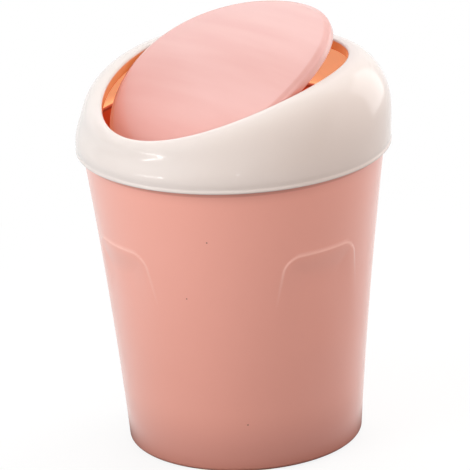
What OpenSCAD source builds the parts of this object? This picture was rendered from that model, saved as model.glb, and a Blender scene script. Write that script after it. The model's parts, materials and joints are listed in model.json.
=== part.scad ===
// Small countertop trash can: a tapered bucket, a lift-off collar with a dipped
// mouth, and a rocking lid on two moulded pivot pins.
// Millimetres. Origin at the centre of the base, +Z up, the mouth dips towards -Y.

/* [Bucket] */
// Height of the bucket's rim above the base
bucket_h = 138; // [110:1:190]
// Outer radius of the bucket at the base
base_r = 50; // [38:0.5:58]
// Outer radius of the bucket at the rim
rim_r = 65.2; // [54:0.1:80]
// How far the side curves in from a straight line, at half height
side_sag = 1.1; // [0:0.1:3]
// Wall thickness of the bucket
bucket_wall = 1.8; // [1.4:0.1:2.6]
// Thickness of the bucket's floor
floor_t = 2; // [1.2:0.1:4]
// Height of the foot ring under the floor
foot_h = 1.5; // [0.8:0.1:4]
// Radial width of the foot ring
foot_w = 3; // [2:0.1:6]
// Rounding where the side meets the base
base_round = 1.7; // [0.8:0.1:4]

/* [Grip panels] */
// Height of the panels' level top edge
panel_top = 97; // [70:1:105]
// Length over which a panel fades out downwards
panel_len = 46; // [30:1:60]
// Half width of a panel at its top
panel_half_top = 17.6; // [12:0.1:21]
// Half width of a panel where it fades out
panel_half_low = 24.2; // [14:0.1:27]
// Depth of a panel at its top
panel_depth = 0.9; // [0.4:0.05:1.1]
// Radius of a panel's top corners
panel_corner = 6; // [2:0.5:10]
// Angle of each panel from the line that the pair is mirrored in
panel_spread = 47.9; // [40:0.1:60]
// Turn of the bucket under the collar
bucket_turn = -52.6; // [-180:0.1:180]

/* [Collar] */
// How far the collar's skirt reaches down over the rim
skirt_overlap = 8; // [4:0.5:14]
// Gap between the skirt and the rim, each side
skirt_gap = 0.4; // [0.3:0.05:1]
// Wall thickness of the skirt
skirt_wall = 1.4; // [1:0.1:2]
// Wall thickness of the collar above its seat
collar_wall = 1.8; // [1.2:0.1:2.4]
// Gap between the collar's ledge and the rim it sits on
seat_gap = 0.05; // [0.02:0.01:0.2]
// Thickness of the ledge that sits on the rim
ledge_t = 1.6; // [1:0.1:3]
// Height of the skirt's straight part
straight_h = 4.2; // [2:0.1:7]
// Fullness of the collar's rounded shoulder at the front
front_fullness = 1.9; // [1.7:0.05:2.6]
// Fullness of the shoulder at the back
back_fullness = 2.55; // [1.8:0.05:3]
// How far the shoulder leans towards the back at half its height
lean = 1.4; // [0:0.1:2]

/* [Mouth] */
// Length of the mouth's crest, front to back
mouth_len = 114; // [100:0.5:118]
// Width of the mouth's crest, pivot to pivot
mouth_w = 98.4; // [86:0.2:104]
// Shift of the mouth's centre from the bucket's axis
mouth_shift = -3.2; // [-4:0.1:4]
// Height of the mouth's centre above the rim
mouth_rise = 18.7; // [16:0.1:30]
// Slope of the mouth, lowest at the front, in degrees
mouth_slope = 8.9; // [0:0.1:10]
// How much higher the mouth's sides lie than its ends
side_rise = 7.8; // [4:0.1:12]
// Rounding of the crest on its inner side
crest_round = 1.5; // [0.8:0.1:2.5]
// Height of the turned-down lip inside the mouth
lip_h = 5; // [4:0.1:6]
// Thickness of the lip
lip_t = 1.5; // [1:0.1:2]

/* [Lid] */
// Gap between the lid and the lip at the lid's sides
lid_gap = 1.6; // [1.2:0.1:3]
// Gap between the lid and the lip at the lid's ends
end_gap = 0.8; // [0.6:0.1:3]
// How far the closed lid's ends stand above the crest
lid_proud = 1.7; // [0:0.1:3]
// How much higher the lid's sides lie than its ends
lid_rise = 8.3; // [5:0.1:12]
// Crown of the lid over its edge
crown = 2.8; // [0.5:0.1:4]
// Width of the lid's rounded shoulder
shoulder_w = 4; // [2:0.1:6]
// Height of the lid's rounded shoulder
shoulder_h = 2.5; // [1.5:0.1:4]
// Height of the lid's straight edge below the shoulder
edge_h = 2.2; // [1.2:0.1:4]
// Wall thickness of the lid
lid_wall = 1.6; // [1.2:0.1:2.4]
// Opening angle in the pose shown, from closed
open_angle = 18.8; // [0:0.1:40]

/* [Pivot] */
// Depth of the pivot axis below the lid's ends
pivot_drop = 6.2; // [4:0.1:9]
// Shift of the pivot axis towards the back
pivot_back = 1.8; // [-3:0.1:4]
// Radius of the pivot pins
pin_r = 2; // [1.5:0.1:3]
// Running clearance of the pins in their bores
pin_clear = 0.06; // [0.02:0.01:0.1]
// Thickness of the lugs that hold the bores
lug_t = 2.2; // [1.6:0.1:3]
// Half width of a lug
lug_half = 9.8; // [8:0.1:14]
// Depth of a lug below the pivot axis
lug_drop = 5; // [4:0.1:8]
// Gap between an ear and its lug
ear_gap = 2.5; // [1.5:0.1:4]
// Thickness of the lid's ears
ear_t = 2; // [1.4:0.1:3]
// Half width of an ear
ear_half = 3.2; // [2.6:0.1:4]
// Swing from closed to each stop, in degrees
swing = 45; // [30:1:50]
// Size of the stop pegs
peg = 2.4; // [1.6:0.1:3]
// Gap between an ear and a stop peg at the end of the swing
stop_gap = 0.3; // [0.2:0.05:0.6]

/* [Hidden] */

pink = [0.93, 0.66, 0.62];
lid_pink = [0.96, 0.74, 0.71];
cream = [0.97, 0.95, 0.93];

// Bucket
side_steps = 12;
arc_steps = 5;
foot_top = foot_h + floor_t;
function bucket_r(z) =
    let (u = z / bucket_h)
    base_r + (rim_r - base_r) * u - 4 * side_sag * u * (1 - u);

// Grip panels: their floor leans out of the side at panel_low
panel_low = panel_top - panel_len;
panel_run_out = 12;
cutter_reach = 3;
function panel_floor(z) =
    bucket_r(z) - panel_depth * (z - panel_low) / panel_len;

// Collar
collar_low = bucket_h - skirt_overlap;
skirt_r = rim_r + skirt_gap;
collar_r = skirt_r + skirt_wall;
collar_in = collar_r - collar_wall;
ledge_r = rim_r - bucket_wall;
ledge_low = bucket_h + seat_gap;
ledge_top = ledge_low + ledge_t;
round_low = collar_low + straight_h;
crest_y = mouth_len / 2;
crest_x = mouth_w / 2;
mouth_z = bucket_h + mouth_rise;
bow = side_rise / (crest_x * crest_x);
ring_steps = 72;
round_steps = 9;
crest_steps = 4;

// Distance from the bucket's axis to the crest in direction a
function crest_r(a) =
    let (
        p = pow(cos(a) / crest_x, 2) + pow(sin(a) / crest_y, 2),
        q = sin(a) * mouth_shift / pow(crest_y, 2),
        s = pow(mouth_shift / crest_y, 2) - 1
    )
    (q + sqrt(q * q - p * s)) / p;

// Height of the crest at (x, y)
function crest_z(x, y) =
    mouth_z + tan(mouth_slope) * (y - mouth_shift) + bow * x * x;

function power(v, n) = v <= 0 ? 0 : pow(v, n);

// How full the shoulder is in direction a
function fullness(a) =
    front_fullness + (back_fullness - front_fullness) * (1 + sin(a)) / 2;

// A rounded corner in direction a, from the wall at radius ro, height z0, to the
// top at ri, z1; t runs from 0 to 90 along it
function shoulder(ri, ro, z0, z1, t, a) =
    let (
        up = power(sin(t), 2 / fullness(a)),
        out = power(cos(t), 2 / fullness(a))
    )
    [ri + (ro - ri) * out + lean * sin(a) * pow(sin(180 * up), 2),
     z0 + (z1 - z0) * up];

// The collar's wall in section, in direction a
function collar_section(a) =
    let (
        rc = crest_r(a),
        zc = crest_z(rc * cos(a), rc * sin(a)),
        lip_r = rc - crest_round,
        under_r = lip_r + lip_t,
        under_z = zc - collar_wall,
        t0 = asin(pow((ledge_top - round_low) / (under_z - round_low), fullness(a) / 2))
    )
    concat(
        [[collar_r, collar_low]],
        [for (i = [0 : round_steps])
            shoulder(rc, collar_r, round_low, zc, 90 * i / round_steps, a)],
        [for (i = [1 : crest_steps])
            let (t = 90 * i / crest_steps)
            [rc - crest_round * sin(t), zc - crest_round * (1 - cos(t))]],
        [[lip_r, zc - lip_h], [under_r, zc - lip_h]],
        [for (i = [round_steps : -1 : 0])
            shoulder(under_r, collar_in, round_low, under_z,
                t0 + (90 - t0) * i / round_steps, a)],
        [[ledge_r, ledge_top], [ledge_r, ledge_low]],
        [[skirt_r, ledge_low], [skirt_r, collar_low]]
    );

// Lid, in its own frame: the pivot axis is X through the origin
lid_y = crest_y - crest_round - end_gap;
lid_x = crest_x - crest_round - lid_gap;
lid_ring_steps = 72;
lid_rings = 6;
shoulder_steps = 4;

// The pivot axis in the part's frame, from the closed lid's place in the mouth
pivot_y = mouth_shift - lid_proud * sin(mouth_slope)
    + pivot_back * cos(mouth_slope) + pivot_drop * sin(mouth_slope);
pivot_z = mouth_z + lid_proud * cos(mouth_slope)
    + pivot_back * sin(mouth_slope) - pivot_drop * cos(mouth_slope);

// Top of the lid above its ends' plane
function lid_top(x, y) =
    lid_rise * (1 - pow(y / lid_y, 2))
    + crown * (1 - pow(x / lid_x, 2) - pow(y / lid_y, 2));

function lid_point(inset, drop, share, a) =
    let (
        x = (lid_x - inset) * share * cos(a),
        y = (lid_y - inset) * share * sin(a)
    )
    [x, y - pivot_back, lid_top(x, y) + pivot_drop - drop];

function lid_ring(inset, drop, share) =
    [for (i = [0 : lid_ring_steps - 1])
        lid_point(inset, drop, share, 360 * i / lid_ring_steps)];

edge_low = shoulder_h + edge_h;

// Pivot
lug_in = crest_x - crest_round;
lug_top = crest_z(crest_x, pivot_y) - lip_h + lip_t;
bore_r = pin_r + pin_clear;
ear_out = lug_in - ear_gap;
ear_in = ear_out - ear_t;
pin_end = lug_in + lug_t - 0.2;
ear_top = pivot_drop + lid_top(ear_out, pivot_back) - lid_wall * 0.75;
peg_in = ear_in + 0.4;
peg_side = ear_half + stop_gap + peg / 2;
peg_up = ear_top / 2;

// Skins closed rings of points, one after the other. With two tips the first and
// last ring each close on a tip, and without tips the last ring joins the first
module skin(rings, tips = []) {
    n = len(rings[0]);
    m = len(rings);
    capped = len(tips) > 0;
    last = capped ? m - 2 : m - 1;
    polyhedron(
        points = concat([for (r = rings) each r], tips),
        faces = concat(
            [for (k = [0 : last], i = [0 : n - 1])
                let (j = (i + 1) % n, q = (k + 1) % m)
                [k * n + i, q * n + j, q * n + i]],
            [for (k = [0 : last], i = [0 : n - 1])
                let (j = (i + 1) % n, q = (k + 1) % m)
                [k * n + i, k * n + j, q * n + j]],
            capped ? [for (i = [0 : n - 1])
                [m * n, (i + 1) % n, i]] : [],
            capped ? [for (i = [0 : n - 1])
                [m * n + 1, (m - 1) * n + i, (m - 1) * n + (i + 1) % n]] : []
        ),
        convexity = 8
    );
}

module bucket_shell() {
    rotate_extrude($fn = 180)
        polygon(concat(
            [[bucket_r(0) - base_round - foot_w, 0]],
            [for (i = [0 : arc_steps])
                let (t = 90 * i / arc_steps)
                [bucket_r(base_round) - base_round * (1 - sin(t)),
                 base_round * (1 - cos(t))]],
            [for (i = [1 : side_steps])
                let (z = base_round + (bucket_h - base_round) * i / side_steps)
                [bucket_r(z), z]],
            [for (i = [side_steps : -1 : 0])
                let (z = foot_top + (bucket_h - foot_top) * i / side_steps)
                [bucket_r(z) - bucket_wall, z]],
            [[0, foot_top], [0, foot_h],
             [bucket_r(0) - base_round - foot_w, foot_h]]
        ));
}

// The arched outline of a grip panel, with its corners rounded at the top
module panel_outline() {
    lean = (panel_half_low - panel_half_top) / panel_len;
    low = panel_low - panel_run_out;
    half_low = panel_half_low + lean * panel_run_out;
    corner_x = panel_half_top + lean * panel_corner - panel_corner;
    polygon(concat(
        [[-half_low, low], [half_low, low]],
        [for (i = [0 : arc_steps])
            let (t = 90 * i / arc_steps)
            [corner_x + panel_corner * cos(t),
             panel_top - panel_corner * (1 - sin(t))]],
        [for (i = [arc_steps : -1 : 0])
            let (t = 90 * i / arc_steps)
            [-corner_x - panel_corner * cos(t),
             panel_top - panel_corner * (1 - sin(t))]]
    ));
}

module panel_cutter(angle) {
    low = panel_low - panel_run_out;
    intersection() {
        rotate_extrude($fn = 180)
            polygon(concat(
                [for (i = [0 : arc_steps])
                    let (z = low + (panel_top + 1 - low) * i / arc_steps)
                    [panel_floor(z), z]],
                [for (i = [arc_steps : -1 : 0])
                    let (z = low + (panel_top + 1 - low) * i / arc_steps)
                    [bucket_r(z) + cutter_reach, z]]
            ));
        rotate([0, 0, angle])
            rotate([90, 0, 90])
                linear_extrude(rim_r + cutter_reach)
                    panel_outline();
    }
}

module bucket() {
    color(pink)
        rotate([0, 0, bucket_turn])
            difference() {
                bucket_shell();
                for (side = [0, 180], turn = [-panel_spread, panel_spread])
                    panel_cutter(side + turn);
            }
}

module collar_shell() {
    sections = [for (i = [0 : ring_steps - 1])
        let (a = 360 * i / ring_steps)
        [for (p = collar_section(a)) [p[0] * cos(a), p[0] * sin(a), p[1]]]];
    skin(sections);
}

// Places children on the pivot axis, turned from level by angle
module at_pivot(angle) {
    translate([0, pivot_y, pivot_z])
        rotate([angle, 0, 0])
            children();
}

module lug() {
    translate([lug_in, pivot_y - lug_half, pivot_z])
        cube([lug_t, 2 * lug_half, lug_top - pivot_z]);
    at_pivot(0)
        translate([lug_in, 0, 0])
            rotate([0, 90, 0])
                intersection() {
                    cylinder(r = lug_half, h = lug_t, $fn = 72);
                    translate([0, -lug_half, 0])
                        cube([lug_drop, 2 * lug_half, lug_t]);
                }
    for (s = [-1, 1])
        at_pivot(mouth_slope + s * swing)
            translate([peg_in, -s * peg_side - peg / 2, peg_up - peg / 2])
                cube([lug_in + lug_t / 2 - peg_in, peg, peg]);
}

module collar() {
    color(cream)
        difference() {
            union() {
                collar_shell();
                lug();
                mirror([1, 0, 0])
                    lug();
            }
            at_pivot(0)
                rotate([0, 90, 0])
                    cylinder(r = bore_r, h = mouth_w + 4 * lug_t, center = true, $fn = 48);
        }
}

module lid_shell() {
    skin(concat(
        [for (i = [1 : lid_rings]) lid_ring(shoulder_w, 0, i / lid_rings)],
        [for (i = [1 : shoulder_steps])
            let (t = 90 * i / shoulder_steps)
            lid_ring(shoulder_w * (1 - sin(t)), shoulder_h * (1 - cos(t)), 1)],
        [lid_ring(0, edge_low, 1), lid_ring(lid_wall, edge_low, 1)],
        [lid_ring(lid_wall, shoulder_h + lid_wall, 1)],
        [for (i = [lid_rings : -1 : 1])
            lid_ring(shoulder_w, lid_wall, i / lid_rings)]
    ), [lid_point(0, 0, 0, 0), lid_point(0, lid_wall, 0, 0)]);
}

module ear() {
    translate([ear_in, -ear_half, 0])
        cube([ear_t, 2 * ear_half, ear_top]);
    translate([ear_in, 0, 0])
        rotate([0, 90, 0])
            cylinder(r = ear_half, h = ear_t, $fn = 48);
    translate([ear_in, 0, 0])
        rotate([0, 90, 0])
            cylinder(r = pin_r, h = pin_end - ear_in, $fn = 48);
}

module swing_lid() {
    color(lid_pink)
        at_pivot(mouth_slope + open_angle)
            union() {
                lid_shell();
                ear();
                mirror([1, 0, 0])
                    ear();
            }
}

bucket();
collar();
swing_lid();
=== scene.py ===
import json
import math

import bmesh
import bpy
import numpy as np
from mathutils import Matrix, Vector


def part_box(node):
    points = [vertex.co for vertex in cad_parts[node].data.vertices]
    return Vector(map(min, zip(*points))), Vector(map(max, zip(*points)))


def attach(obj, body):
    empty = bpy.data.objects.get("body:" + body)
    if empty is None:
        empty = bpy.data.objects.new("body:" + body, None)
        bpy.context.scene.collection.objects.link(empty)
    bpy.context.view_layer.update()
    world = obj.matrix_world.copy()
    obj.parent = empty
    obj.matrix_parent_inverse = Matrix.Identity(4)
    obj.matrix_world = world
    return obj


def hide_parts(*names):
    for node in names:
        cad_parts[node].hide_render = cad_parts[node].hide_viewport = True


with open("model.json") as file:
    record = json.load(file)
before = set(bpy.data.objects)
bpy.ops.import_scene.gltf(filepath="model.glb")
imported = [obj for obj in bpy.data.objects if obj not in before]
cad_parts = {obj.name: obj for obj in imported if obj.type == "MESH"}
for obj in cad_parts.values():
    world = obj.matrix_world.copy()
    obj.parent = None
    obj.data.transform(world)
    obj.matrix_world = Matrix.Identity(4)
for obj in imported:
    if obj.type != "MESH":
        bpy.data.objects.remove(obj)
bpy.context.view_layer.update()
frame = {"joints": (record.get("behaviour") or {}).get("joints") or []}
mm = 0.001

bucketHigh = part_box("bucket")[1] / mm
collarLow, collarHigh = (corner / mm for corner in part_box("collar"))
swingJoint = next(joint for joint in frame["joints"] if joint["name"] == "lid_swing")
pivotY, pivotZ = (value / mm for value in swingJoint["pos_m"][1:])
print("frame loaded, pivot at", round(pivotY, 2), round(pivotZ, 2))


# the camera, where the photograph was taken from

view = {
    "turn": 48.6,  # degrees that the object is turned to the camera
    "away": 1.9,  # metres from the object's axis
    "height": 0.76534,
    "aim": 0.3421,  # radians below level
    "yaw": -0.0006, "roll": -0.044,
    "focalPixels": 4726.28, "imagePixels": 470, "sensor": 36, "clipEnd": 50,
}


def makeCamera(size):
    data = bpy.data.cameras.new("photoCamera")
    data.sensor_width = size["sensor"]
    data.lens = size["focalPixels"] * size["sensor"] / size["imagePixels"]
    data.clip_end = size["clipEnd"]
    aim, yaw, roll = size["aim"], size["yaw"], size["roll"]
    forward = Vector((math.sin(yaw) * math.cos(aim), math.cos(yaw) * math.cos(aim), -math.sin(aim)))
    level = Vector((math.cos(yaw), -math.sin(yaw), 0))
    upright = level.cross(forward)
    right = math.cos(roll) * level + math.sin(roll) * upright
    up = -math.sin(roll) * level + math.cos(roll) * upright
    axes = Matrix((right, up, -forward)).transposed().to_4x4()
    turn = Matrix.Rotation(math.radians(size["turn"]), 4, "Z")
    camera = bpy.data.objects.new("photoCamera", data)
    camera.matrix_world = turn @ Matrix.Translation((0, -size["away"], size["height"])) @ axes
    bpy.context.scene.collection.objects.link(camera)
    bpy.context.scene.camera = camera


makeCamera(view)
print("camera made")


# mesh helpers, all in millimetres; a part is its points and its faces

creaseAngle = 38  # degrees, past which an edge stays crisp


def wrapRings(rings, loop=False, tips=()):
    count, total = len(rings[0]), len(rings)
    points = np.concatenate(rings)
    faces = []
    for k in range(total if loop else total - 1):
        q = (k + 1) % total
        for i in range(count):
            j = (i + 1) % count
            faces.append((k * count + i, k * count + j, q * count + j, q * count + i))
    for end, tip in enumerate(tips):  # the first and the last ring close on a point each
        points = np.vstack([points, tip])
        at, first = len(points) - 1, (total - 1) * count * end
        faces += [(at, first + i, first + (i + 1) % count) for i in range(count)]
    return points, faces


def mirrored(part):
    points, faces = part
    return points * (-1, 1, 1), [face[::-1] for face in faces]


def swung(part, angle):
    # a part that was drawn round the pivot, turned and put in its place
    points, faces = part
    c, s = math.cos(math.radians(angle)), math.sin(math.radians(angle))
    y, z = points[:, 1], points[:, 2]
    return np.stack([points[:, 0], pivotY + c * y - s * z, pivotZ + s * y + c * z], 1), faces


def softBox(low, high, soften):
    bm = bmesh.new()
    bmesh.ops.create_cube(bm, size=1)
    low, high = Vector(low), Vector(high)
    for vert in bm.verts:
        vert.co = (low + high) / 2 + vert.co * (high - low)
    bmesh.ops.bevel(bm, geom=bm.edges[:], offset=soften, segments=3, profile=0.5, affect="EDGES")
    part = np.array([v.co[:] for v in bm.verts]), [tuple(v.index for v in f.verts) for f in bm.faces]
    bm.free()
    return part


def arc(centreR, centreZ, radius, start, stop, steps):
    turns = np.radians(np.linspace(start, stop, steps))
    return [(centreR + radius * math.cos(t), centreZ + radius * math.sin(t)) for t in turns]


def makePiece(name, parts, body, node, material, tones):
    # tones are named masks that the material reads, with one value for each point; they carry the painted
    # light, shade and highlight
    bm = bmesh.new()
    for points, faces in parts:
        verts = [bm.verts.new(Vector(point) * mm) for point in points.tolist()]
        for face in faces:
            bm.faces.new([verts[i] for i in face])
    bmesh.ops.recalc_face_normals(bm, faces=bm.faces[:])
    for face in bm.faces:
        face.smooth = True
    for edge in bm.edges:
        edge.smooth = edge.calc_face_angle(math.pi) < math.radians(creaseAngle)
    mesh = bpy.data.meshes.new(name)
    bm.to_mesh(mesh)
    bm.free()
    for label, values in tones.items():
        mask = mesh.attributes.new(label, "FLOAT", "POINT")
        mask.data.foreach_set("value", values.astype(np.float32))
    mesh.materials.append(material)
    piece = bpy.data.objects.new(name, mesh)
    bpy.context.scene.collection.objects.link(piece)
    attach(piece, body)
    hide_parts(node)
    print(name, "made,", len(mesh.polygons), "faces")


# node helpers

def addNode(tree, kind, values=(), **settings):
    node = tree.nodes.new(kind)
    for key, value in settings.items():
        setattr(node, key, value)
    for key, value in dict(values).items():
        if isinstance(value, bpy.types.NodeSocket):
            tree.links.new(value, node.inputs[key])
        else:
            node.inputs[key].default_value = value
    return node


def addPlace(tree):
    return addNode(tree, "ShaderNodeTexCoord").outputs["Object"]


def addRange(tree, value, fromMin=0, fromMax=1, toMin=0, toMax=1):
    ends = {"From Min": fromMin, "From Max": fromMax, "To Min": toMin, "To Max": toMax}
    return addNode(tree, "ShaderNodeMapRange", {"Value": value, **ends}).outputs["Result"]


def addMix(tree, share, first, second, kind="RGBA"):
    mix = addNode(tree, "ShaderNodeMix", {"Factor": share, "A": first, "B": second}, data_type=kind)
    return mix.outputs["Result"]


def addMath(tree, kind, first, second):
    return addNode(tree, "ShaderNodeMath", {0: first, 1: second}, operation=kind).outputs[0]


def addNoise(tree, place, scale, detail):
    noise = addNode(tree, "ShaderNodeTexNoise", {"Vector": place, "Scale": scale, "Detail": detail})
    return noise.outputs["Fac"]


def addShaderMix(tree, share, first, second):
    return addNode(tree, "ShaderNodeMixShader", {"Fac": share, 1: first.outputs[0], 2: second.outputs[0]})


def paint(hexColor):
    channels = [int(hexColor[i:i + 2], 16) / 255 for i in (0, 2, 4)]
    return [c / 12.92 if c <= 0.04045 else ((c + 0.055) / 1.055) ** 2.4 for c in channels] + [1]


colorKind, valueKind, vectorKind = "NodeSocketColor", "NodeSocketFloat", "NodeSocketVector"


def newGroup(name, inputs, outputs):
    group = bpy.data.node_groups.new(name, "ShaderNodeTree")
    for label, kind in inputs.items():
        group.interface.new_socket(label, in_out="INPUT", socket_type=kind)
    for label, kind in outputs.items():
        group.interface.new_socket(label, in_out="OUTPUT", socket_type=kind)
    return group, group.nodes.new("NodeGroupInput").outputs, group.nodes.new("NodeGroupOutput").inputs


# effects that the three plastics share

skin = {
    "driftFrom": 0.35, "driftTo": 0.65, "driftDetail": 3,
    "speckScale": 70, "speckCore": 0.018, "speckRim": 0.03, "speckRare": 0.93,
    "patchScale": 45, "patchDetail": 2, "patchFrom": 0.3, "patchTo": 0.7,
    "grainDetail": 2, "waveDetail": 1,
    # where the painted shade is full, and where the painted hollow light begins
    "paintedShadeFull": 0.4, "hollowFrom": 0.6,  # how the inside mask is read
    "dotCore": 0.4,
}


def makeMouldedFinish(size):
    # colour drifts a little as the plastic cooled, gloss varies in patches, and the tool left a grain
    group, given, out = newGroup(
        "mouldedFinish",
        {"Main Color": colorKind, "Drift Color": colorKind, "Drift Turn": vectorKind,
         "Drift Stretch": vectorKind, "Grain Scale": valueKind, "Gloss Low": valueKind,
         "Gloss High": valueKind, "Speck Color": colorKind, "Speck Amount": valueKind},
        {"Color": colorKind, "Roughness": valueKind, "Grain": valueKind})
    place = addPlace(group)
    run = addNode(group, "ShaderNodeMapping", {"Vector": place, "Rotation": given["Drift Turn"],
                                               "Scale": given["Drift Stretch"]}).outputs["Vector"]
    drift = addRange(group, addNoise(group, run, 1, size["driftDetail"]), size["driftFrom"], size["driftTo"])
    mixed = addMix(group, drift, given["Main Color"], given["Drift Color"])
    cells = addNode(group, "ShaderNodeTexVoronoi", {"Vector": place, "Scale": size["speckScale"],
                                                    "Randomness": 1}).outputs
    dot = addRange(group, cells["Distance"], size["speckCore"], size["speckRim"], 1, 0)
    rare = addMath(group, "GREATER_THAN", cells["Color"], size["speckRare"])
    speck = addMath(group, "MULTIPLY", addMath(group, "MULTIPLY", dot, rare), given["Speck Amount"])
    patches = addNoise(group, place, size["patchScale"], size["patchDetail"])
    gloss = addRange(group, patches, size["patchFrom"], size["patchTo"], given["Gloss Low"],
                     given["Gloss High"])
    group.links.new(addMix(group, speck, mixed, given["Speck Color"]), out["Color"])
    group.links.new(gloss, out["Roughness"])
    group.links.new(addNoise(group, place, given["Grain Scale"], size["grainDetail"]), out["Grain"])
    return group


def makeShrinkWaves(size):
    # long low waves that a moulded skin shows in its reflections
    group, given, out = newGroup("shrinkWaves", {"Across": valueKind, "Along": valueKind},
                                 {"Height": valueKind})
    stretch = addNode(group, "ShaderNodeCombineXYZ", {"X": given["Across"], "Y": given["Along"],
                                                      "Z": given["Along"]}).outputs[0]
    scaled = addNode(group, "ShaderNodeVectorMath", {0: addPlace(group), 1: stretch}, operation="MULTIPLY")
    group.links.new(addNoise(group, scaled.outputs[0], 1, size["waveDetail"]), out["Height"])
    return group


def makePaintedLightAndShade(size):
    # painted light: a warm colour and a glow stand in for daylight that comes through the thin wall and warms
    # the side that faces the hollow; painted shade darkens folds and rims, and a painted highlight lights
    # marked lines
    group, given, out = newGroup(
        "paintedLightAndShade",
        {"Color": colorKind, "Painted Highlight Color": colorKind, "Painted Shade Color": colorKind, "Painted Hollow Color": colorKind,
         "Painted Shade Glow": colorKind, "Painted Hollow Glow": colorKind},
        {"Color": colorKind, "Glow": colorKind})
    # the first mask gives painted shade at low values and painted hollow light at high ones; the second marks
    # a painted highlight
    inside = addNode(group, "ShaderNodeAttribute", attribute_name="inside").outputs["Fac"]
    edge = addNode(group, "ShaderNodeAttribute", attribute_name="edge").outputs["Fac"]
    paintedShade = addRange(group, inside, fromMax=size["paintedShadeFull"])
    deep = addRange(group, inside, fromMin=size["hollowFrom"])
    outside = addMix(group, edge, given["Color"], given["Painted Highlight Color"])
    withPaintedShade = addMix(group, paintedShade, outside, given["Painted Shade Color"])
    paintedShadeGlow = addMix(group, paintedShade, (0, 0, 0, 1), given["Painted Shade Glow"])
    group.links.new(addMix(group, deep, withPaintedShade, given["Painted Hollow Color"]), out["Color"])
    group.links.new(addMix(group, deep, paintedShadeGlow, given["Painted Hollow Glow"]), out["Glow"])
    return group


mouldedFinish = makeMouldedFinish(skin)
shrinkWaves = makeShrinkWaves(skin)
paintedLightAndShade = makePaintedLightAndShade(skin)


def addDot(tree, under, dot, dark):
    # one dark speck caught in the skin: its place and radius in millimetres
    x, y, z, radius = (length * mm for length in dot)
    far = addNode(tree, "ShaderNodeVectorMath", {0: addPlace(tree), 1: (x, y, z)}, operation="DISTANCE")
    spot = addRange(tree, far.outputs["Value"], radius * skin["dotCore"], radius, 1, 0)
    return addMix(tree, spot, under, dark)


def setInputs(node, labels, look):
    for label, key in labels.items():
        if key in look:
            node.inputs[label].default_value = paint(look[key]) if isinstance(look[key], str) else look[key]


def makePlastic(name, look):
    material = bpy.data.materials.new(name)
    material.use_nodes = True
    tree = material.node_tree
    shader = tree.nodes["Principled BSDF"]
    finish = addNode(tree, "ShaderNodeGroup", node_tree=mouldedFinish)
    setInputs(finish, {"Main Color": "color", "Drift Color": "drift", "Drift Turn": "driftTurn",
                       "Drift Stretch": "driftStretch", "Grain Scale": "grainScale",
                       "Gloss Low": "glossLow", "Gloss High": "glossHigh", "Speck Color": "speck",
                       "Speck Amount": "speckAmount"}, look)
    surface = finish.outputs["Color"]
    for dot in look.get("dots", ()):
        surface = addDot(tree, surface, dot, paint(look["speck"]))
    # painted light, shade and highlight, read from the masks
    through = addNode(tree, "ShaderNodeGroup", {"Color": surface}, node_tree=paintedLightAndShade)
    setInputs(through, {"Painted Highlight Color": "edge", "Painted Shade Color": "paintedShade", "Painted Hollow Color": "inside",
                        "Painted Shade Glow": "paintedShadeGlow", "Painted Hollow Glow": "paintedGlow"}, look)
    waves = addNode(tree, "ShaderNodeGroup", node_tree=shrinkWaves)
    setInputs(waves, {"Across": "across", "Along": "along"}, look)
    wavy = addNode(tree, "ShaderNodeBump", {"Height": waves.outputs["Height"],
                                            "Distance": look["waveHeight"] * mm})
    grained = addNode(tree, "ShaderNodeBump", {"Height": finish.outputs["Grain"],
                                               "Normal": wavy.outputs["Normal"],
                                               "Distance": look["grainHeight"] * mm})
    tree.links.new(through.outputs["Color"], shader.inputs["Base Color"])
    # the painted glow goes into emission, though no part here is a lamp
    tree.links.new(through.outputs["Glow"], shader.inputs["Emission Color"])
    tree.links.new(finish.outputs["Roughness"], shader.inputs["Roughness"])
    tree.links.new(grained.outputs["Normal"], shader.inputs["Normal"])
    setInputs(shader, {"Emission Strength": "paintedGlowStrength", "IOR": "ior", "Coat Weight": "coat",
                       "Coat Roughness": "coatRoughness"}, look)
    return material


# bucket: satin pink, four panels pressed into its side

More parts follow.
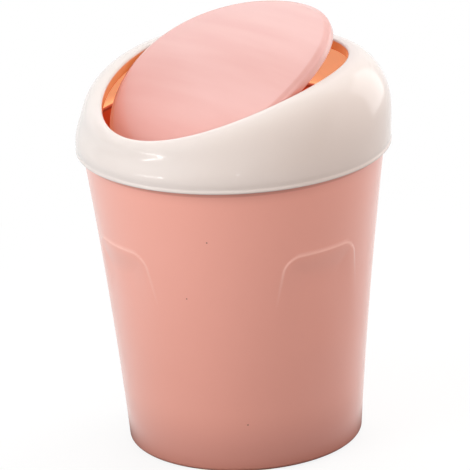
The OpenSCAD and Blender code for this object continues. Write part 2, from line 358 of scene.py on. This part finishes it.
bucket = {
    "baseR": 50, "rimR": bucketHigh.x, "height": bucketHigh.z, "sag": 1.1, "wall": 1.8, "floor": 2,
    "foot": 1.5, "footWidth": 3, "baseRound": 1.7, "baseSteps": 9, "rimRound": 0.5, "rimSteps": 5,
    "wallRows": 14, "innerRound": 2, "innerSteps": 7,
    # panels, each with a raised line round its top, along which a painted highlight runs
    "turn": -52.6, "panelSpread": 47.9, "panelTop": 97, "panelLength": 46, "panelHalfTop": 17.6,
    "panelHalfLow": 24.2, "panelDepth": 0.9, "mostDepth": 1.05, "panelCorner": 6, "panelSlope": 12,
    "beadWidth": 0.9, "beadHeight": 0.27, "beadReach": 16, "beadFade": 14,
    # the painted highlight along each raised line: its width, shift, strength, and where it fades in
    "lineWidth": 0.53, "lineShift": 0.4, "paintedLineHighlight": 0.8, "lineFrom": 20, "lineFade": 24,
    # degrees between columns, which lie close together near a panel's edge
    "edgeAngle": 21.5, "edgeReach": 6, "fineStep": 0.3, "coarseStep": 1.2,
    # shade close under the collar, below it and down by the floor: how far it reaches and how strong
    "underReach": 2.4, "underFade": 0.6, "underTone": 0.13,
    "bandReach": 6, "bandFade": 4, "bandTone": 0.03, "shadeTop": 0.1, "lowReach": 30, "lowTone": 0.17,
    "slack": 0.05,  # within which a point counts as on a surface
    # finish, with a painted highlight, a painted shade and a painted glow in the hollow
    "color": "FBAD9D", "drift": "F8A998", "driftStretch": (9, 9, 9),
    # a painted highlight colour, a painted shade colour and glow, then the hollow's painted light colour and
    # glow
    "edge": "FFC3B5", "paintedShade": "A85C4E", "paintedShadeGlow": "000000",
    "inside": "D87050", "paintedGlow": "C83C14", "paintedGlowStrength": 0.14,
    "speck": "96584A", "speckAmount": 0.6,
    "dots": ((36.16, -49.14, 107.0, 0.42), (25.14, -52.01, 80.4, 0.38), (39.44, -33.65, 22.1, 0.42)),
    "glossLow": 0.36, "glossHigh": 0.46, "ior": 1.46, "coat": 0.8, "coatRoughness": 0.14,
    "grainScale": 2600, "grainHeight": 0.02, "across": 14, "along": 14, "waveHeight": 0.03,
}


def bucketRadius(z, size=bucket):
    up = z / size["height"]
    return size["baseR"] + (size["rimR"] - size["baseR"]) * up - 4 * size["sag"] * up * (1 - up)


def smoothStep(share):
    share = np.clip(share, 0, 1)
    return share * share * (3 - 2 * share)


def panelCentres(size):
    return [size["turn"] + side + spread for side in (0, 180)
            for spread in (-size["panelSpread"], size["panelSpread"])]


def panelDrop(angles, z, size):
    # how deep the side lies at height z, and how strong the painted highlight along its line is, for a row of
    # angles in degrees
    drop, line = np.zeros_like(angles), np.zeros_like(angles)
    top, length, corner = size["panelTop"], size["panelLength"], size["panelCorner"]
    low = top - length
    depth = size["panelDepth"] * min(max((z - low) / length, 0), size["mostDepth"])
    half = size["panelHalfTop"] + (size["panelHalfLow"] - size["panelHalfTop"]) / length * (top - z)
    bead = size["beadHeight"] * smoothStep((z - top + size["beadReach"]) / size["beadFade"])
    lineShare = size["paintedLineHighlight"] * smoothStep((z - low - size["lineFrom"]) / size["lineFade"])
    for centre in panelCentres(size):
        off = np.radians(angles - centre)
        across = np.abs(bucketRadius(z) * np.sin(off))
        overX, overZ = across - half + corner, z - top + corner
        inset = np.minimum(half - across, top - z)
        inset = np.where((overX > 0) & (overZ > 0), corner - np.hypot(overX, overZ), inset)
        raised = bead * smoothStep(inset / size["beadWidth"] + 1)
        fall = (depth + bead) * smoothStep(inset / size["panelSlope"]) - raised
        # the painted highlight along the raised line
        lit = lineShare * np.exp(-((inset + size["lineShift"]) / size["lineWidth"]) ** 2)
        near = np.cos(off) > 0
        drop += np.where(near, fall, 0)
        line = np.maximum(line, np.where(near, lit, 0))
    return drop, line


def bucketAngles(size):
    edges = [centre + side * size["edgeAngle"] for centre in panelCentres(size) for side in (-1, 1)]
    angles, at = [], 0.0
    while at < 360 - size["coarseStep"] / 2:
        angles.append(at)
        near = min(abs((at - edge + 180) % 360 - 180) for edge in edges)
        at += size["fineStep"] if near < size["edgeReach"] else size["coarseStep"]
    return np.array(angles)


def bucketPaintedLight(points, floorTop, size):
    # 1 where a point faces the hollow, which gets painted light, and elsewhere a little painted shade
    radius, z = np.hypot(points[:, 0], points[:, 1]), points[:, 2]
    hollow = (radius < bucketRadius(z) - size["wall"] + size["slack"]) & (z > floorTop - size["slack"])
    below = z - collarLow.z
    under = smoothStep((below + size["underReach"]) / size["underFade"])
    band = smoothStep((below + size["bandReach"]) / size["bandFade"])
    shade = (size["underTone"] * under + size["bandTone"] * band) * (below < size["shadeTop"])
    return np.where(hollow, 1, shade + size["lowTone"] * smoothStep(1 - z / size["lowReach"]))


def makeBucket(size):
    angles = bucketAngles(size)
    cosines, sines = np.cos(np.radians(angles)), np.sin(np.radians(angles))
    top, foot, base, wall = size["height"], size["foot"], size["baseRound"], size["wall"]
    footIn = bucketRadius(0) - base - size["footWidth"]
    floorTop = foot + size["floor"]
    plain = np.zeros_like(angles)
    rings, lines = [], []

    def ring(radius, z, pressed=False):
        drop, line = panelDrop(angles, z, size) if pressed else (plain, plain)
        reach = radius - drop
        rings.append(np.stack([reach * cosines, reach * sines, np.full_like(angles, z)], 1))
        lines.append(line)

    for radius, z in ((footIn * 0.3, foot), (footIn * 0.7, foot), (footIn - 0.6, foot), (footIn + 0.4, foot),
                      (footIn, foot - 0.5), (footIn, 0.3), (footIn + 0.3, 0)):
        ring(radius, z)
    for radius, z in arc(bucketRadius(base) - base, base, base, -90, 0, size["baseSteps"]):
        ring(radius, z)
    low, high, hem = size["panelTop"] - size["panelLength"], size["panelTop"], collarLow.z + 0.03
    spans = ((base + 1, low, 20), (low + 1, high - 9, 34), (high - 8.7, high + 0.6, 38),
             (high + 2, top - 1, 12), (hem - 4, hem, 17))  # from, to and rows
    for z in np.sort(np.concatenate([np.linspace(*span) for span in spans])):
        ring(bucketRadius(z), z, pressed=True)
    rim, outer, inner = size["rimRound"], bucketRadius(top), bucketRadius(top) - wall
    for radius, z in (arc(outer - rim, top - rim, rim, 0, 90, size["rimSteps"])
                      + arc(inner + rim, top - rim, rim, 90, 180, size["rimSteps"])):
        ring(radius, z)
    curve = size["innerRound"]
    for z in np.linspace(top - 2, floorTop + curve, size["wallRows"]):
        ring(bucketRadius(z) - wall, z)
    corner = bucketRadius(floorTop) - wall
    for radius, z in arc(corner - curve, floorTop + curve, curve, 0, -90, size["innerSteps"])[1:]:
        ring(radius, z)
    for share in (0.75, 0.5, 0.25):
        ring(corner * share, floorTop)
    part = wrapRings(rings, tips=((0, 0, foot), (0, 0, floorTop)))
    # painted light in the hollow, painted shade under the collar and near the floor, and the painted
    # highlight along the panel lines
    tones = {"inside": bucketPaintedLight(part[0], floorTop, size),
             "edge": np.append(np.concatenate(lines), [0, 0])}
    makePiece("bucket_moulded", [part], "bucket", "bucket",
              makePlastic("bucketPlastic", size), tones)


makeBucket(bucket)


# collar: glossy warm white, dips towards the front, with a turned-down lip, two lugs and four stop pegs

collar = {
    "outerR": collarHigh.x, "low": collarLow.z, "skirtR": bucketHigh.x + 0.4, "wall": 1.8,
    "ledge": 0.15, "ledgeR": bucketHigh.x - 1.8, "seatZ": bucketHigh.z + 0.05, "straight": 4.2,
    "edgeRound": 0.7, "edgeSteps": 6, "columnStep": 1.0, "innerEdgeTurn": 250, "innerEdgeSteps": 4,
    "skirtBead": ((1.15, 0.02), (1.45, 0.2), (1.8, 0.3), (2.3, 0.24), (3.2, 0.06)),  # up and inward
    # painted shade on the inner low edge of the skirt
    "skirtPaintedShade": 0.3,
    # shoulder, which is fuller at the back than in front
    "frontFullness": 1.9, "backFullness": 2.55, "lean": 1.4, "outerSteps": 56, "innerSteps": 30,
    # mouth and lip
    "mouthHalfX": 49.2, "mouthHalfY": 57, "mouthShift": -3.2, "mouthZ": bucketHigh.z + 18.7,
    "slope": 8.9, "sideRise": 7.8, "crestRound": 1.5, "crestSquare": 2.6, "crestStart": 8, "crestSteps": 14,
    # painted shade with a warm painted glow over the crest's inner rounding from the given angle, and on the
    # lip
    "crestPaintedShade": 0.45, "toneFrom": 56, "toneTurn": 24,
    "lip": 5, "lipWall": 1.5, "lipRound": 0.7, "lipSteps": 9, "lipPaintedShade": 0.5, "lipEndPaintedShade": 0.6,
    # lugs and pegs
    "lugWall": 2.2, "lugHalf": 9.8, "lugDrop": 5, "lugSoft": 0.4, "lugStep": 3.0, "boreR": 2.06,
    "pegSize": 2.4, "pegSwing": 45, "pegSide": 4.7, "pegUp": 6.7, "pegInnerX": 43.6, "pegSoften": 0.35,
    # finish, with painted shade and a warm painted glow on the crest and lip, and painted light with a glow
    # in the hollow
    "color": "E7D9D4", "drift": "E5D5CE", "driftStretch": (7, 7, 7), "paintedShade": "D88E60", "paintedShadeGlow": "A45C28",
    "inside": "FAD4B0", "paintedGlow": "D6AE84", "paintedGlowStrength": 0.55, "speck": "B8A89A", "speckAmount": 0.25,
    "glossLow": 0.1, "glossHigh": 0.16, "ior": 1.5, "coat": 0.3, "coatRoughness": 0.06,
    "grainScale": 1800, "grainHeight": 0.004, "across": 22, "along": 22, "waveHeight": 0.05,
}


def crestRadius(turns, size):
    a, b, shift = size["mouthHalfX"], size["mouthHalfY"], size["mouthShift"]
    p = (np.cos(turns) / a) ** 2 + (np.sin(turns) / b) ** 2
    q = np.sin(turns) * shift / b ** 2
    return (q + np.sqrt(q * q - p * ((shift / b) ** 2 - 1))) / p


def crestHeight(x, y, size):
    tilt = math.tan(math.radians(size["slope"])) * (y - size["mouthShift"])
    return size["mouthZ"] + tilt + size["sideRise"] * (x / size["mouthHalfX"]) ** 2


def collarShell(size):
    turns = np.radians(np.arange(0, 360, size["columnStep"]))
    sine = np.sin(turns)
    crestR = crestRadius(turns, size)
    crestZ = crestHeight(crestR * np.cos(turns), crestR * sine, size)
    fullness = size["frontFullness"] + (size["backFullness"] - size["frontFullness"]) * (1 + sine) / 2
    edge, outerR, skirtR, low = size["edgeRound"], size["outerR"], size["skirtR"], size["low"]
    startZ = low + size["straight"]
    rings, tones = [], []

    def ring(radius, z, tone=0.0):
        radius, z = np.broadcast_to(radius, turns.shape), np.broadcast_to(z, turns.shape)
        rings.append(np.stack([radius * np.cos(turns), radius * sine, z], 1))
        tones.append(tone)

    def shoulder(innerR, outer, topZ, t, tone):
        up = np.sin(t) ** (2 / fullness)
        out = np.maximum(np.cos(t), 0) ** (2 / fullness)
        ring(innerR + (outer - innerR) * out + size["lean"] * sine * np.sin(np.pi * up) ** 2,
             startZ + (topZ - startZ) * up, tone)

    for radius, z in arc(outerR - edge, low + edge, edge, -90, 0, size["edgeSteps"]):
        ring(radius, z)
    for up, inward in size["skirtBead"]:
        ring(outerR - inward, low + up)
    for t in np.radians(np.linspace(0, 90, size["outerSteps"])):
        shoulder(crestR, outerR, crestZ, t, 0.0)
    bend, square = size["crestRound"], 2 / size["crestSquare"]
    for t in np.linspace(size["crestStart"], 90, size["crestSteps"]):
        across = math.sin(math.radians(t)) ** square
        down = 1 - max(math.cos(math.radians(t)), 0) ** square
        # the painted shade grows over the crest's inner rounding
        tone = size["crestPaintedShade"] * min(max((t - size["toneFrom"]) / size["toneTurn"], 0), 1)
        ring(crestR - bend * across, crestZ - bend * down, tone)
    lipR, lipLow, lipRound = crestR - bend, crestZ - size["lip"], size["lipRound"]
    # the lip takes the painted shade and its warm painted glow
    for share in (0.15, 0.5, 0.85):
        ring(lipR, crestZ - bend - (size["lip"] - bend - lipRound) * share, size["lipPaintedShade"])
    for t in np.radians(np.linspace(180, 360, size["lipSteps"])):
        ring(lipR + size["lipWall"] / 2 * (1 + math.cos(t)), lipLow + lipRound * (1 + math.sin(t)),
             size["lipEndPaintedShade"])
    underR, underZ = lipR + size["lipWall"], crestZ - size["wall"]
    ledgeTop = size["seatZ"] + size["ledge"]
    first = np.arcsin(((ledgeTop - startZ) / (underZ - startZ)) ** (fullness / 2))
    # the hollow side, the ledge and the seat take the painted hollow light
    for share in np.linspace(1, 0, size["innerSteps"]):
        shoulder(underR, outerR - size["wall"], underZ, first + (np.pi / 2 - first) * share, 1.0)
    for radius, z in ((size["ledgeR"], ledgeTop), (size["ledgeR"], size["seatZ"]), (skirtR, size["seatZ"])):
        ring(radius, z, 1.0)
    # painted shade on the skirt's inner low edge
    ring(skirtR, low + edge, size["skirtPaintedShade"])
    for radius, z in arc(skirtR + edge, low + edge, edge, 180, size["innerEdgeTurn"], size["innerEdgeSteps"]):
        ring(radius, z)
    return wrapRings(rings, loop=True), np.repeat(tones, len(turns))


def lugPlate(size):
    # a plate round the pivot bore, square above the axis and round below it
    half, soft, bore = size["lugHalf"], size["lugSoft"], size["boreR"]
    x0 = size["mouthHalfX"] - size["crestRound"]
    x1 = x0 + size["lugWall"]
    top = crestHeight(size["mouthHalfX"], pivotY, size) - size["lip"] + size["lipWall"] - pivotZ
    turns = np.radians(np.arange(0, 360, size["lugStep"]))
    c, s = np.cos(turns), np.sin(turns)
    tiny = 1e-6
    above = np.minimum(half / np.maximum(np.abs(c), tiny), top / np.maximum(s, tiny))
    below = np.minimum(half, size["lugDrop"] / np.maximum(-s, tiny))
    reach = np.where(s >= 0, above, below)

    def ring(radius, x):
        return np.stack([np.full_like(turns, x), pivotY + radius * c, pivotZ + radius * s], 1)

    return wrapRings([ring(reach, x0 + soft), ring(reach, x1 - soft), ring(reach - soft, x1),
                      ring(bore + soft, x1), ring(bore, x1 - soft), ring(bore, x0 + soft),
                      ring(bore + soft, x0), ring(reach - soft, x0)], loop=True)


def makeCollar(size):
    shell, tones = collarShell(size)
    half, up = size["pegSize"] / 2, size["pegUp"]
    pegOuterX = size["mouthHalfX"] - size["crestRound"] + size["lugWall"] / 2
    fittings = [lugPlate(size)]
    for side in (-1, 1):
        y = -side * size["pegSide"]
        peg = softBox((size["pegInnerX"], y - half, up - half), (pegOuterX, y + half, up + half),
                      size["pegSoften"])
        fittings.append(swung(peg, size["slope"] + side * size["pegSwing"]))
    fittings += [mirrored(part) for part in fittings]
    # the lugs and pegs take the painted hollow light
    inside = np.concatenate([tones] + [np.ones(len(points)) for points, faces in fittings])
    makePiece("collar_moulded", [shell] + fittings, "collar", "collar",
              makePlastic("collarPlastic", size), {"inside": inside})


makeCollar(collar)


# swing lid: glossy pink, crowned, on two ears with moulded pins

lid = {
    "halfX": collar["mouthHalfX"] - collar["crestRound"] - 1.6,
    "halfY": collar["mouthHalfY"] - collar["crestRound"] - 0.8,
    "rise": 8.3, "crown": 2.8, "wall": 1.6, "tilt": collar["slope"] + 18.8, "columnStep": 1.5,
    "crownRings": 30, "shoulderRings": 16, "edgeRings": 9, "softRings": 5, "underRings": 20,
    "underShoulderRings": 7,
    "shoulderWidth": 2.7, "shoulderDrop": 0.95, "shoulderPower": 1.25,
    # the last value here is a little painted shade on the shoulder and rim
    "edgeTurn": 1.1, "edgeStart": 20, "edgeLow": 4.7, "edgeRound": 0.5, "rimPaintedShade": 0.09,
    # painted shade: darker towards the front and the left
    "paintedFrontShade": 0.23, "toneAlong": -0.9, "toneAcross": -0.5, "toneStart": 0.15,
    # ears and pins
    "pivotDrop": 6.2, "pivotBack": 1.8, "pinR": 2, "pinSoft": 0.3, "pinSteps": 48,
    "pinInEar": 0.3, "pinShort": 0.2,  # from the ear's inner face, and short of the lug's outer face
    "earGap": 2.5, "earWall": 2, "earHalf": 3.2, "earSoft": 0.35, "earSteps": 25,
    "earBite": 0.4,  # share of the lid's wall left above the ear
    # finish, whose colour drifts in long streaks across the photograph
    "color": "EAB8B3", "drift": "E5AEA8", "driftTurn": (0, 0, math.radians(-view["turn"])),
    # a painted shade colour for the front and the rim, then painted light and glow for the underside
    "driftStretch": (8, 70, 20), "paintedShade": "D07C6E", "paintedShadeGlow": "000000",
    "inside": "E8745C", "paintedGlow": "D04020", "paintedGlowStrength": 0.15, "speck": "B06A60", "speckAmount": 0.15,
    "glossLow": 0.16, "glossHigh": 0.22, "ior": 1.5, "coat": 0.2, "coatRoughness": 0.1,
    "grainScale": 1800, "grainHeight": 0.004, "across": 9, "along": 60, "waveHeight": 0.05,
}


def lidTop(x, y, size):
    across, along = (x / size["halfX"]) ** 2, (y / size["halfY"]) ** 2
    return size["rise"] * (1 - along) + size["crown"] * (1 - across - along)


def lidShell(size):
    turns = np.radians(np.arange(0, 360, size["columnStep"]))
    rings, tones = [], []

    def ring(inset, drop, share=1.0, tone=0.0):
        x = (size["halfX"] - inset) * share * np.cos(turns)
        y = (size["halfY"] - inset) * share * np.sin(turns)
        z = lidTop(x, y, size) + size["pivotDrop"] - drop
        rings.append(np.stack([x, y - size["pivotBack"], z], 1))
        # painted shade towards the front and the left
        toFront = size["toneAlong"] * y / size["halfY"] + size["toneAcross"] * x / size["halfX"]
        front = size["paintedFrontShade"] * np.clip(toFront - size["toneStart"], 0, 1)
        tones.append(np.maximum(front, tone))

    width, fall, power = size["shoulderWidth"], size["shoulderDrop"], size["shoulderPower"]
    wall, soft, low, bend = size["wall"], size["edgeRound"], size["edgeLow"], size["edgeTurn"]
    rimShade = size["rimPaintedShade"]
    for share in np.linspace(0.04, 1, size["crownRings"]):
        ring(width, 0, share)
    # the shoulder and the rim take a little painted shade
    for share in np.linspace(0.06, 1, size["shoulderRings"]):
        ring(width - (width - bend) * share, fall * share ** power, tone=rimShade * min(share * 2, 1))
    for t in np.radians(np.linspace(size["edgeStart"], 90, size["edgeRings"])):
        ring(bend * (1 - math.sin(t)), fall + bend * (1 - math.cos(t)), tone=rimShade)
    for share in (0.35, 0.7):
        ring(0, fall + bend + (low - soft - fall - bend) * share, tone=rimShade)
    for t in np.radians(np.linspace(0, 90, size["softRings"])):
        ring(soft * (1 - math.cos(t)), low - soft * (1 - math.sin(t)), tone=rimShade)
    # the inner edge and the underside take the painted hollow light
    for t in np.radians(np.linspace(90, 0, size["softRings"])):
        ring(wall - soft * (1 - math.cos(t)), low - soft * (1 - math.sin(t)), tone=1.0)
    for share in np.linspace(1, 0.1, size["underShoulderRings"]):
        ring(width - (width - wall) * share, wall + fall * share ** power, tone=1.0)
    for share in np.linspace(1, 0.06, size["underRings"]):
        ring(width, wall, share, tone=1.0)
    top = lidTop(0, 0, size) + size["pivotDrop"]
    part = wrapRings(rings, tips=((0, -size["pivotBack"], top), (0, -size["pivotBack"], top - wall)))
    return part, np.append(np.concatenate(tones), [0.0, 1.0])


def pinBar(size, x0, x1):
    radius, soft = size["pinR"], size["pinSoft"]
    turns = np.linspace(0, 2 * np.pi, size["pinSteps"], endpoint=False)

    def ring(r, x):
        return np.stack([np.full_like(turns, x), r * np.cos(turns), r * np.sin(turns)], 1)

    return wrapRings([ring(radius - soft, x0), ring(radius, x0 + soft), ring(radius, x1 - soft),
                      ring(radius - soft, x1)], tips=((x0, 0, 0), (x1, 0, 0)))


def earPlate(size, x0, x1, top):
    half, soft = size["earHalf"], size["earSoft"]
    turns = np.radians(np.linspace(180, 360, size["earSteps"]))
    lowHalf = [(half * math.cos(t), half * math.sin(t)) for t in turns]
    outline = np.array(lowHalf + [(half, top), (-half, top)])
    middle = np.array([0, top / 2])
    offset = outline - middle
    reach = np.linalg.norm(offset, axis=1, keepdims=True)

    def ring(inset, x):
        return np.column_stack([np.full(len(outline), x), middle + offset * (1 - inset / reach)])

    return wrapRings([ring(soft, x0), ring(0, x0 + soft), ring(0, x1 - soft), ring(soft, x1)],
                     tips=((x0, *middle), (x1, *middle)))


def makeLid(size):
    shell, tones = lidShell(size)
    lugIn = collar["mouthHalfX"] - collar["crestRound"]
    earOut = lugIn - size["earGap"]
    earIn = earOut - size["earWall"]
    lidOver = size["pivotDrop"] + lidTop(earOut, size["pivotBack"], size) - size["shoulderDrop"]
    earTop = lidOver - size["wall"] * size["earBite"]
    ear = earPlate(size, earIn, earOut, earTop)
    pin = pinBar(size, earIn + size["pinInEar"], lugIn + collar["lugWall"] - size["pinShort"])
    fittings = [ear, pin, mirrored(ear), mirrored(pin)]
    parts = [swung(part, size["tilt"]) for part in [shell] + fittings]
    # the ears and pins take the painted hollow light
    inside = np.concatenate([tones] + [np.ones(len(points)) for points, faces in fittings])
    makePiece("swing_lid_moulded", parts, "lid", "swing_lid",
              makePlastic("lidPlastic", size), {"inside": inside})


makeLid(lid)


# floor, surroundings and lamps

studio = {
    # light from the sides and from above, and what gloss sees above
    "fillSide": 0.14, "fillTop": 0.07, "glossTop": 0.5,
    "ceilingSide": (-0.684, 1.333, 1.0), "ceilingBlur": 0.05,  # right, towards the camera, up
    # floor in metres: its size, the shadow's share that shows, and the rings where each effect fades
    "floorSize": 6, "floorDrop": 0.0003, "floorColor": (0.9, 0.88, 0.87, 1),
    "shadowShow": 0.15, "shadowNear": 0.1, "shadowFar": 0.3,
    # painted shade: the floor's colour for bounce and gloss close to the object, and further out
    "shadeColor": (0.05, 0.03, 0.03, 1), "floorBounce": (0.16, 0.15, 0.15, 1),
    "shadeNear": 0.065, "shadeFar": 0.25, "glossNear": 0.05, "glossFar": 0.062,
    "lampAim": (0, 0, 0.08),
}
warm, white, cool, fresh = (1, 0.93, 0.87), (1, 1, 1), (0.93, 0.99, 1), (0.94, 1, 1)
lamps = {  # watts, width, height, place as seen in the photograph, whether gloss shows it, tint
    "leftLamp": (4.55, 0.9, 0.9, (-0.85, 0.35, 0.35), False, fresh),
    "leftBackLamp": (0.95, 0.5, 0.5, (-0.75, -0.5, 0.3), False, cool),
    "frontLamp": (2.0, 0.6, 0.6, (0, 0.9, 0.3), False, warm),
    "topLamp": (1.95, 0.8, 0.8, (0, -0.1, 0.9), False, cool),
    "topBackLamp": (3.0, 0.5, 0.5, (0, -0.6, 0.7), False, cool),
    "rightLamp": (2.2, 0.6, 0.6, (0.9, 0, 0.3), False, warm),
    "rightBackLamp": (1.35, 0.5, 0.5, (0.7, -0.6, 0.3), False, warm),
    "backRightLamp": (2.3, 0.4, 0.4, (0.5, -0.5, 0.7), False, cool),
    "nearLeftLamp": (0.6, 0.25, 0.25, (-0.25, 0.25, 0.34), False, fresh),
    "nearRightLamp": (0.38, 0.25, 0.25, (0.25, 0.25, 0.34), False, warm),
    "glowLamp": (0.9, 0.5, 0.6, (0.62, -0.5, 0.35), True, white),
    "streakLamp": (0.6, 0.42, 0.02, (-1.04, 0.58, 0.27), True, white),
    "spotLamp": (0.08, 0.03, 0.05, (0.01, 1.0, 0.25), True, white),
}


def fromCamera(right, toward, up):
    # a place given as seen in the photograph: to its right, towards the camera, and up
    turn = math.radians(view["turn"])
    return (right * math.cos(turn) + toward * math.sin(turn),
            right * math.sin(turn) - toward * math.cos(turn), up)


def makeWorld(size):
    # white where the camera looks and in the gloss, with a dim ceiling, and a lower level for its light
    world = bpy.data.worlds.new("whiteRoom")
    world.use_nodes = True
    bpy.context.scene.world = world
    tree = world.node_tree
    back = tree.nodes["Background"]
    back.inputs["Color"].default_value = (1, 1, 1, 1)
    path = addNode(tree, "ShaderNodeLightPath").outputs
    direction = addNode(tree, "ShaderNodeTexCoord").outputs["Generated"]
    across = Vector(fromCamera(*size["ceilingSide"]))  # square to the ceiling's edge
    above = addNode(tree, "ShaderNodeVectorMath", {0: direction, 1: across}, operation="DOT_PRODUCT")
    ceiling = addRange(tree, above.outputs["Value"], -size["ceilingBlur"], size["ceilingBlur"])
    lit = addRange(tree, ceiling, toMin=size["fillSide"], toMax=size["fillTop"])
    gloss = addRange(tree, ceiling, toMin=1, toMax=size["glossTop"])
    shiny = addMath(tree, "MAXIMUM", path["Is Glossy Ray"], path["Is Transmission Ray"])
    mixed = addMix(tree, shiny, lit, gloss, "FLOAT")
    tree.links.new(addMix(tree, path["Is Camera Ray"], mixed, 1, "FLOAT"), back.inputs["Strength"])


def makeFloor(size):
    bpy.ops.mesh.primitive_plane_add(size=size["floorSize"], location=(0, 0, -size["floorDrop"]))
    floor = bpy.context.object
    floor.name = "floor"
    material = bpy.data.materials.new("whiteFloor")
    material.use_nodes = True
    tree = material.node_tree
    tree.nodes.remove(tree.nodes["Principled BSDF"])
    path = addNode(tree, "ShaderNodeLightPath").outputs
    reach = addNode(tree, "ShaderNodeVectorMath", {0: addPlace(tree)}, operation="LENGTH").outputs["Value"]
    # the light it throws up, with painted shade: its colour is darker close to the object
    away = addRange(tree, reach, size["shadeNear"], size["shadeFar"])
    bounceColor = addMix(tree, away, size["shadeColor"], size["floorBounce"])
    bounce = addNode(tree, "ShaderNodeBsdfDiffuse", {"Color": bounceColor})
    # what the camera sees: white, with a share of the shadow near the object
    pale = addNode(tree, "ShaderNodeBsdfDiffuse", {"Color": size["floorColor"]})
    plain = addNode(tree, "ShaderNodeEmission", {"Color": (1, 1, 1, 1), "Strength": 1})
    plainShare = addRange(tree, reach, size["shadowNear"], size["shadowFar"], 1 - size["shadowShow"])
    shown = addShaderMix(tree, plainShare, pale, plain)
    # gloss sees it too, but close under the object it sees the painted shade colour instead
    openFloor = addRange(tree, reach, size["glossNear"], size["glossFar"])
    shiny = addMath(tree, "MULTIPLY", path["Is Glossy Ray"], openFloor)
    direct = addMath(tree, "MAXIMUM", path["Is Camera Ray"], path["Is Transmission Ray"])
    upper = addShaderMix(tree, addMath(tree, "MAXIMUM", direct, shiny), bounce, shown)
    # from below it is clear
    behind = addNode(tree, "ShaderNodeNewGeometry").outputs["Backfacing"]
    whole = addShaderMix(tree, behind, upper, addNode(tree, "ShaderNodeBsdfTransparent"))
    tree.links.new(whole.outputs[0], tree.nodes["Material Output"].inputs["Surface"])
    floor.data.materials.append(material)


def makeLamp(name, power, width, height, place, inGloss, tint):
    data = bpy.data.lights.new(name, "AREA")
    data.shape = "RECTANGLE"
    data.energy, data.size, data.size_y = power, width, height
    data.color = tint
    lamp = bpy.data.objects.new(name, data)
    lamp.location = fromCamera(*place)
    lamp.rotation_euler = (Vector(studio["lampAim"]) - lamp.location).to_track_quat("-Z", "Y").to_euler()
    lamp.visible_glossy = inGloss
    lamp.visible_camera = False
    bpy.context.scene.collection.objects.link(lamp)


makeWorld(studio)
makeFloor(studio)
for lampName, lampSettings in lamps.items():
    makeLamp(lampName, *lampSettings)
bpy.context.scene.view_settings.view_transform = "Standard"
print("studio lit")
